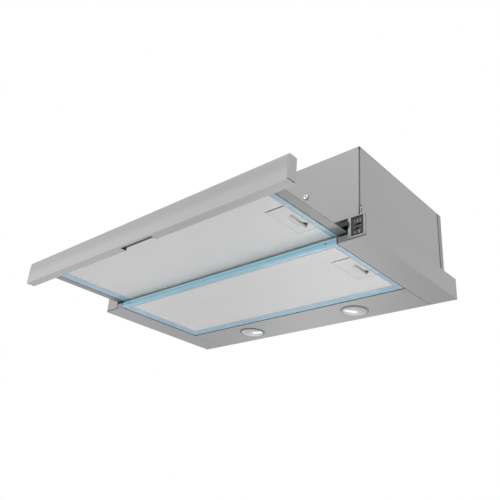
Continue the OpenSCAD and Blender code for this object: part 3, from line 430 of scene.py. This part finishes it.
DRESS = [
    (silver, ["top_panel", "front_panel", "front_ledge", "lamp_panel",
              *both("side_panel", "skirt", "fascia")]),
    (shaded_silver, ["back_panel", "drawer_rear_bar", *both("drawer_side")]),
    (trim_silver, ["front_trim"]),
    (cap_grey, both("trim_cap")),
    (shaded_bezel, both("lamp_bezel")),
    (black, ["switch_block", "grip_liner", "outlet_collar", "terminal_box", "cable_gland", "drawer_switch",
             *both("slide_guide", "slide_shoe")]),
    (knob_black, ["speed_slider", "light_slider"]),
    (zinc, ["motor_bracket", *both("runner")]),
    (rim_metal, ["filter_frame", "drawer_filter_frame"]),
    (pocket_grey, ["filter_pocket", "drawer_filter_pocket"]),
    (latch_grey, ["filter_latch", "drawer_filter_latch"]),
    (scroll_white, ["fan_scroll", *both("fan_cheek")]),
    (wheel_black, ["fan_wheel"]),
    (flap_black, ["flap_front", "flap_rear"]),
    (lamp_white, both("lamp_body")),
    (sleeve_white, ["capacitor"]),
    (motor_grey, ["motor"]),
    (bright, ["motor_shaft", "flap_pin", "panel_screws"]),
    (plunger_white, ["switch_plunger"]),
]


def middle(node):
    low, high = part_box(node)
    return (low + high) / 2


def paint(piece, material):
    """The material takes the place of those that the piece has."""
    piece.data.materials.clear()
    piece.data.materials.append(material)


def dress_nodes():
    """Each solid of the frame gets its material."""
    for material, names in DRESS:
        for name in names:
            paint(nodes[name], material)
    for tag in ("filter", "drawer_filter"):
        for part, maker in (("mesh", inner_layers), ("film", blue_film)):
            name = f"{tag}_{part}"
            paint(nodes[name], finish(name, maker(*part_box(name))))
    for side in SIDES:
        name = "lamp_lens_" + side
        low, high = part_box(name)
        centre = middle(name)
        paint(nodes[name], finish("lens_" + side, lens_opal(centre.x, centre.y, (high.x - low.x) / 2)))


# Folded sheet and moulded pieces lose their razor edges. Each row holds a width in mm and its nodes.

FLAT = [
    (0.28, ["top_panel", "front_panel", "back_panel", "front_ledge", "lamp_panel", "drawer_rear_bar",
            "filter_frame", "drawer_filter_frame", "motor_bracket",
            *both("side_panel", "skirt", "fascia", "drawer_side", "runner")]),
    (0.35, ["switch_block", "terminal_box", "drawer_switch"]),
    (0.15, ["speed_slider", "light_slider", "filter_pocket", "drawer_filter_pocket"]),
]
CURVED = [
    (0.35, ["front_trim", "grip_liner", *both("trim_cap", "slide_guide", "slide_shoe", "lamp_body")]),
    (0.2, ["filter_latch", "drawer_filter_latch", *both("lamp_bezel")]),
]


WELD_REACH = 0.002 * MM
LEVEL_ANGLE = math.radians(0.5)
EDGE_ANGLE = math.radians(32)
SPLIT_ANGLE = math.radians(34)


def soften(width, names, curved):
    """Rounds the edges of nodes.

    Flat ones have the triangles of each face joined first: a bevel beside a long thin one shows as a line."""
    for name in names:
        piece = nodes[name]
        for polygon in piece.data.polygons:
            polygon.use_smooth = curved
        piece.modifiers.new("weld", "WELD").merge_threshold = WELD_REACH
        if not curved:
            flat = piece.modifiers.new("flat", "DECIMATE")
            flat.decimate_type = "DISSOLVE"
            flat.angle_limit = LEVEL_ANGLE
        edge = piece.modifiers.new("edge", "BEVEL")
        edge.width = width * MM
        edge.segments = 2
        edge.limit_method = "ANGLE"
        edge.angle_limit = EDGE_ANGLE
        edge.use_clamp_overlap = True
        if curved:
            piece.modifiers.new("split", "EDGE_SPLIT").split_angle = SPLIT_ANGLE
            piece.modifiers.new("even", "WEIGHTED_NORMAL").keep_sharp = True


def soften_edges():
    for table, curved in ((FLAT, False), (CURVED, True)):
        for width, names in table:
            soften(width, names, curved)


# New pieces


def settle(piece, body, material):
    """Links a finished piece, gives it its material, and lets it ride on its body."""
    paint(piece, material)
    bpy.context.scene.collection.objects.link(piece)
    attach(piece, body)


def from_bmesh(name, shape):
    mesh = bpy.data.meshes.new(name)
    shape.to_mesh(mesh)
    shape.free()
    return bpy.data.objects.new(name, mesh)


def as_mesh(piece, name):
    """The piece with its curves and modifiers turned into a mesh, as a new object at the origin."""
    bpy.context.scene.collection.objects.link(piece)
    graph = bpy.context.evaluated_depsgraph_get()
    mesh = bpy.data.meshes.new_from_object(piece.evaluated_get(graph))
    mesh.transform(piece.matrix_world)
    mesh.name = name
    bpy.data.objects.remove(piece)
    return bpy.data.objects.new(name, mesh)


def arc(centre, radius, start, end, turns=10):
    """Points along an arc, with its angles in radians."""
    angles = [start + (end - start) * i / turns for i in range(turns + 1)]
    return [(centre[0] + radius * math.cos(a), centre[1] + radius * math.sin(a)) for a in angles]


def rounded(low, high, radius, turns=6):
    """Outline of a rectangle with rounded corners."""
    right, left = high[0] - radius, low[0] + radius
    back, front = high[1] - radius, low[1] + radius
    points = []
    for quarter, corner in enumerate(((right, back), (left, back), (left, front), (right, front))):
        start = quarter * math.pi / 2
        points += arc(corner, radius, start, start + math.pi / 2, turns)
    return points


def upright(width, height, radius, turns=2):
    """Outline of a small rounded rectangle round the middle."""
    return rounded((-width / 2, -height / 2), (width / 2, height / 2), radius, turns)


def ring(centre, radius, turns=32):
    """Points all round a circle."""
    return arc(centre, radius, 0, math.tau, turns)[:-1]


def plate(name, outlines, thick, edge, place):
    """A flat plate from closed outlines, where an outline inside another is a hole. Its edges are rounded."""
    curve = bpy.data.curves.new(name, "CURVE")
    curve.dimensions = "2D"
    curve.fill_mode = "BOTH"
    curve.extrude = thick / 2 - edge
    curve.bevel_depth = edge
    curve.bevel_resolution = 1
    curve.offset = -edge
    for outline in outlines:
        line = curve.splines.new("POLY")
        line.points.add(len(outline) - 1)
        for point, (x, y) in zip(line.points, outline):
            point.co = (x, y, 0, 1)
        line.use_cyclic_u = True
    piece = bpy.data.objects.new(name, curve)
    piece.matrix_world = place
    return as_mesh(piece, name)


def join(name, pieces):
    """Several meshes as one piece."""
    shape = bmesh.new()
    for piece in pieces:
        shape.from_mesh(piece.data)
        bpy.data.objects.remove(piece)
    return from_bmesh(name, shape)


def facing(origin, right, up):
    """A place whose X goes right and whose Y goes up on a face, with Z standing out of it."""
    right, up = Vector(right), Vector(up)
    turn = Matrix((right, up, right.cross(up))).transposed().to_4x4()
    return Matrix.Translation(origin) @ turn


# Filters

STRAND = 0.85 * MM
STRAND_THICK = 0.10 * MM
LEAN = -0.08


def expanded_metal(name, low, high, level, out, spared):
    """Expanded metal in a window: a leaning diamond, repeated, on a level, outside the spared rectangle.

    Out is the side that it faces, 1 for up or -1 for down."""
    shape = bmesh.new()
    diamond = bmesh.ops.create_circle(shape, cap_ends=True, segments=4, radius=1)
    bmesh.ops.scale(shape, vec=(WEAVE_X / 2, WEAVE_Y / 2, 1), verts=diamond["verts"])
    strands = bmesh.ops.inset_region(shape, faces=shape.faces[:], thickness=STRAND, use_boundary=True,
                                     use_even_offset=True)
    hole = [f for f in shape.faces if f not in strands["faces"]]
    bmesh.ops.delete(shape, geom=hole, context="FACES")
    raised = bmesh.ops.extrude_face_region(shape, geom=shape.faces[:])
    top = [v for v in raised["geom"] if isinstance(v, bmesh.types.BMVert)]
    bmesh.ops.translate(shape, vec=(0, 0, out * STRAND_THICK), verts=top)
    lean = Matrix.Identity(4)
    lean[2][0] = LEAN
    bmesh.ops.transform(shape, matrix=lean, verts=shape.verts)
    bmesh.ops.translate(shape, vec=(low.x, low.y, level), verts=shape.verts)
    bmesh.ops.recalc_face_normals(shape, faces=shape.faces)
    piece = from_bmesh(name, shape)
    columns = math.ceil((high.x - low.x) / WEAVE_X) + 1
    rows = math.ceil((high.y - low.y) / WEAVE_Y) + 1
    between = (WEAVE_X / 2, WEAVE_Y / 2, 0)
    for count, step in ((columns, (WEAVE_X, 0, 0)), (rows, (0, WEAVE_Y, 0)), (2, between)):
        row = piece.modifiers.new("row", "ARRAY")
        row.count = count
        row.use_relative_offset = False
        row.use_constant_offset = True
        row.constant_offset_displace = step
    piece = as_mesh(piece, name)
    shape = bmesh.new()
    shape.from_mesh(piece.data)
    gone = []
    for face in shape.faces:
        centre = face.calc_center_median()
        beyond = centre.x > high.x + WEAVE_X or centre.y > high.y + WEAVE_Y
        if beyond or (spared[0] < centre.x < spared[1] and spared[2] < centre.y < spared[3]):
            gone.append(face)
    bmesh.ops.delete(shape, geom=gone, context="FACES")
    shape.to_mesh(piece.data)
    shape.free()
    return piece


POCKET_HALF = 6 * MM
THUMB = 5.5 * MM
THUMB_X = 5 * MM
THUMB_Y = 11 * MM


def pocket_outline(low, high):
    """A slot with round ends and a round recess for a fingertip that swells out of its right side."""
    x = low.x + POCKET_HALF
    y = (low.y + high.y) / 2
    reach = (high.y - low.y) / 2 - POCKET_HALF
    recess = (x + THUMB_X, y + THUMB_Y)
    apart = math.hypot(THUMB_X, THUMB_Y - reach)
    lean = math.atan2(reach - THUMB_Y, -THUMB_X)

    def meet(one, other):
        return math.acos((one * one + apart * apart - other * other) / (2 * one * apart))

    enters = -math.acos((POCKET_HALF - THUMB_X) / THUMB)
    leaves = lean - meet(THUMB, POCKET_HALF)
    joins = lean - math.pi + meet(POCKET_HALF, THUMB)
    return (arc((x, y - reach), POCKET_HALF, -math.pi, 0) + arc(recess, THUMB, enters, leaves)
            + arc((x, y + reach), POCKET_HALF, joins, math.pi))


# Where things lie on a filter: below the layers, above them, and in from its edges

WEAVE_UNDER = 0.36 * MM
WEAVE_OVER = 0.44 * MM
PLATE_WIDE = 35 * MM
PLATE_BEHIND = 11 * MM
PLATE_UNDER = 0.1 * MM
PLATE_THICK = 0.15 * MM
SHUTTER = (12.2 * MM, 39.4 * MM)
SHUTTER_LEFT = 1.8 * MM
SHUTTER_UNDER = 0.26 * MM
SHUTTER_THICK = 0.12 * MM
SHEET_EDGE = 0.03 * MM
LIP_TURN = math.radians(4)
LAP = 8.5 * MM
LAP_THICK = 0.06 * MM
TUCK = 1 * MM
HOLE_SHADE = 1.4 * MM
HOLE_SHADE_IN = 19 * MM
HOLE_SHADE_DEEP = 0.7 * MM


def dress_filter(tag, node, body, latch_body, on_top):
    """Face mesh, plate round the latch pocket, the latch's shutter, film laps and the painted shade in the
    front holes of a filter.
    """
    low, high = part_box(node + "_mesh")
    frame_low, frame_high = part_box(node + "_frame")
    pocket_low, pocket_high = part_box(node + "_pocket")
    half = high.x + RIM_SHEET - RIM
    front, back = frame_low.y + RIM, frame_high.y - RIM
    slit = frame_low.y + SLIT_BACK

    # The plate ends at the slit, and the mesh stops at the plate
    window = (Vector((-half, front, 0)), Vector((half, back, 0)))
    plate_low = (half - PLATE_WIDE, slit + SLIT_HALF)
    plate_high = (half, pocket_high.y + PLATE_BEHIND)
    spared = (plate_low[0] + TUCK, plate_high[0] + RIM, slit - 2 * MM, plate_high[1] - TUCK)
    weave = expanded_metal(tag + "_face_mesh", *window, low.z - WEAVE_UNDER, -1, spared)
    settle(weave, body, face_metal)
    outlines = [rounded(plate_low, plate_high, 1 * MM), pocket_outline(pocket_low, pocket_high)]
    place = Matrix.Translation((0, 0, low.z - PLATE_UNDER))
    smooth = plate(tag + "_latch_plate", outlines, PLATE_THICK, SHEET_EDGE, place)
    settle(smooth, body, plate_metal)

    # The shutter follows its latch, whose lip stands at a slight angle
    across = pocket_low.x + POCKET_HALF - SHUTTER_LEFT
    along = (pocket_low.y + pocket_high.y) / 2
    place = Matrix.Translation((across, along, low.z - SHUTTER_UNDER)) @ Matrix.Rotation(LIP_TURN, 4, "Z")
    shutter = plate(tag + "_latch_shutter", [upright(*SHUTTER, 5 * MM, 6)], SHUTTER_THICK, SHEET_EDGE, place)
    settle(shutter, latch_body, latch_grey)

    # The film reaches over the mesh at the left and at the back
    left_strip = ((-half - TUCK, front), (-half + LAP, back + TUCK))
    back_strip = ((-half + LAP, back - LAP), (half, back + TUCK))
    place = Matrix.Translation((0, 0, frame_low.z - LAP_THICK))
    laps = [plate("lap", [rounded(*strip, 0.4 * MM, 2)], LAP_THICK, 0, place)
            for strip in (left_strip, back_strip)]
    settle(join(tag + "_film_laps", laps), body, nodes[node + "_film"].data.materials[0])

    # Painted shade: a black disc sits inside each hole of the frame's front face
    for side in (-1, 1):
        spot = (side * (half + RIM - HOLE_SHADE_IN), frame_low.y + HOLE_SHADE_DEEP, (frame_low.z + frame_high.z) / 2)
        hole = facing(spot, (1, 0, 0), (0, 0, 1))
        hole_shade = plate(tag + "_rivet", [ring((0, 0), HOLE_SHADE, 16)], 0.3 * MM, 0.05 * MM, hole)
        settle(hole_shade, body, black)
    if on_top:
        upper = expanded_metal(tag + "_top_mesh", *window, frame_high.z - WEAVE_OVER, 1, (0, 0, 0, 0))
        settle(upper, body, face_metal)


# Marks on the switch block

INK_THICK = 0.04 * MM
NUMERAL = 5.2 * MM
THIN = 0.1 * MM


def words(name, text, size, place):
    """Raised letters round the middle of a place."""
    letters = bpy.data.curves.new(name, "FONT")
    letters.body = text
    letters.size = size
    letters.align_x = "CENTER"
    letters.align_y = "CENTER"
    letters.extrude = INK_THICK / 2
    piece = bpy.data.objects.new(name, letters)
    piece.matrix_world = place
    return as_mesh(piece, name)


def mark_switch():
    """Numerals, ticks and a line at the speed slider, a ring and a lamp at the light slider."""
    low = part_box("switch_block")[0]
    left = low.x + 1.3 * MM
    face = low.y - INK_THICK / 2
    speed_z = middle("speed_slider").z
    light_z = middle("light_slider").z
    marks = []

    def at(x, z):
        """A place on the block's face, with x in mm from its left."""
        return facing((left + x * MM, face, z), (1, 0, 0), (0, 0, 1))

    def mark(name, outlines, place):
        marks.append(plate(name, outlines, INK_THICK, 0, place))

    def hoop(radius):
        return [ring((0, 0), radius, 20), ring((0, 0), radius - 0.4 * MM, 20)]

    for text, x in (("1", 5.4), ("2", 9.9), ("3", 14.4)):
        marks.append(words("numeral", text, NUMERAL, at(x, speed_z + 5.6 * MM)))
    for x in (5.6, 10.1, 14.6):
        mark("tick", [upright(0.4 * MM, 1.2 * MM, THIN)], at(x, speed_z + 2.4 * MM))
    mark("line", [upright(14 * MM, 0.24 * MM, THIN)], at(10, speed_z - 3.3 * MM))
    mark("off", hoop(1.2 * MM), at(5.4, light_z - 5.4 * MM))
    bulb = at(12.6, light_z - 4.8 * MM)
    mark("bulb", hoop(1.5 * MM), bulb)
    mark("socket", [rounded((-0.7 * MM, -2.6 * MM), (0.7 * MM, -1.6 * MM), 0.2 * MM, 2)], bulb)
    for turn in (-70, -35, 0, 35, 70):
        ray = Matrix.Rotation(math.radians(turn), 4, "Z") @ Matrix.Translation((0, 2.3 * MM, 0))
        mark("ray", [upright(0.3 * MM, 0.8 * MM, THIN)], bulb @ ray)
    settle(join("switch_marks", marks), "hood", ink)


# Screws


COLLAR_SCREW = 3.4 * MM
COLLAR_SCREW_HIGH = 1.9 * MM
COLLAR_SCREW_IN = 5 * MM
FLANGE_TOP = 1.5 * MM


def cross(arm, half):
    """Outline of a cross, from the length of its arms and half their width."""
    return [(half, half), (half, arm), (-half, arm), (-half, half), (-arm, half), (-arm, -half),
            (-half, -half), (-half, -arm), (half, -arm), (half, -half), (arm, -half), (arm, half)]


def screw(name, place, radius, height):
    """Pan head with a cross recess: a domed ring round the recess, on a flat disc."""
    arm, half = radius * 0.52, radius * 0.13
    head = plate(name, [ring((0, 0), radius), cross(arm, half)], height, height * 0.32,
                 place @ Matrix.Translation((0, 0, height / 2)))
    floor = plate(name + "_floor", [ring((0, 0), radius * 0.9)], height * 0.4, height * 0.05,
                  place @ Matrix.Translation((0, 0, height * 0.2)))
    return join(name, [head, floor])


def add_screws():
    """The two heads in the front panel, in place of the plain ones, and four on the collar's flange."""
    low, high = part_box("panel_screws")
    radius = (high.z - low.z) / 2
    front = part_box("front_panel")[0].y
    heads = []
    for x in (low.x + radius, high.x - radius):
        place = facing((x, front, middle("panel_screws").z), (1, 0, 0), (0, 0, 1))
        heads.append(screw("head", place, radius, front - low.y))
    panel = join("panel_screw_heads", heads)
    settle(panel, "hood", bright)
    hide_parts("panel_screws")

    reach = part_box("outlet_collar")[1].x - COLLAR_SCREW_IN
    heads = []
    for turn in (45, 135, 225, 315):
        angle = math.radians(turn)
        spot = (reach * math.cos(angle), reach * math.sin(angle), FLANGE_TOP)
        heads.append(screw("head", facing(spot, (1, 0, 0), (0, 1, 0)), COLLAR_SCREW, COLLAR_SCREW_HIGH))
    settle(join("collar_screw_heads", heads), "hood", bright)


# Room: the share of the white that lights the hood, and lamps with their place, size and power

ROOM_LIGHT = 0.64
LAMPS = [
    ("below_back_left", (-1.3, 1.9, -1.5), (0.7, 0.7), 5.6),
    ("below_left", (-2.6, 1.2, -1.5), (1.0, 1.0), 3.2),
    ("front_left", (-2.5, -2.5, 0.5), (1.6, 1.6), 7),
    ("right", (3.0, -0.2, 0.5), (1.6, 1.6), 8.5),
    ("over_front", (0.0, -1.6, 1.8), (1.6, 1.6), 16),
]
AIM = Vector((0, -0.05, -0.12))
FLOOR_LEVEL = -1.66
FLOOR_HALF = 7


def white_floor(place):
    return {"Base Color": place.noise(0.3, 3).tint(grey(0.80), grey(0.84)), "Roughness": 0.8}


def set_room():
    """A white floor far below, a white world that lights less than it shows, and soft lamps."""
    shape = bmesh.new()
    bmesh.ops.create_grid(shape, x_segments=1, y_segments=1, size=FLOOR_HALF)
    bmesh.ops.translate(shape, vec=(0, 0, FLOOR_LEVEL), verts=shape.verts)
    floor = from_bmesh("floor", shape)
    bpy.context.scene.collection.objects.link(floor)
    paint(floor, finish("floor", white_floor))

    world = bpy.data.worlds.new("room")
    bpy.context.scene.world = world
    world.use_nodes = True
    tree = world.node_tree
    tree.nodes.clear()
    rays = Value(tree, tree.nodes.new("ShaderNodeLightPath").outputs["Is Camera Ray"])
    seen = rays
    for name in ("Is Glossy Ray", "Is Transmission Ray"):
        seen = seen.most(Value(tree, rays.socket.node.outputs[name]))
    strength = seen * (1 - ROOM_LIGHT) + ROOM_LIGHT
    back = seen.node("Background", None, {"Color": (1, 1, 1, 1), "Strength": strength})
    back.node("OutputWorld", None, {"Surface": back})

    for name, place, size, power in LAMPS:
        light = bpy.data.lights.new(name, "AREA")
        light.shape = "RECTANGLE"
        light.size, light.size_y = size
        light.energy = power
        lamp = bpy.data.objects.new(name, light)
        lamp.location = place
        lamp.rotation_euler = (AIM - Vector(place)).to_track_quat("-Z", "Y").to_euler()
        bpy.context.scene.collection.objects.link(lamp)


set_camera()
dress_nodes()
soften_edges()
dress_filter("fixed_filter", "filter", "fixed_filter", "fixed_latch", False)
dress_filter("drawer_filter", "drawer_filter", "drawer", "drawer_latch", True)
mark_switch()
add_screws()
set_room()

bpy.context.scene.view_settings.view_transform = "Standard"
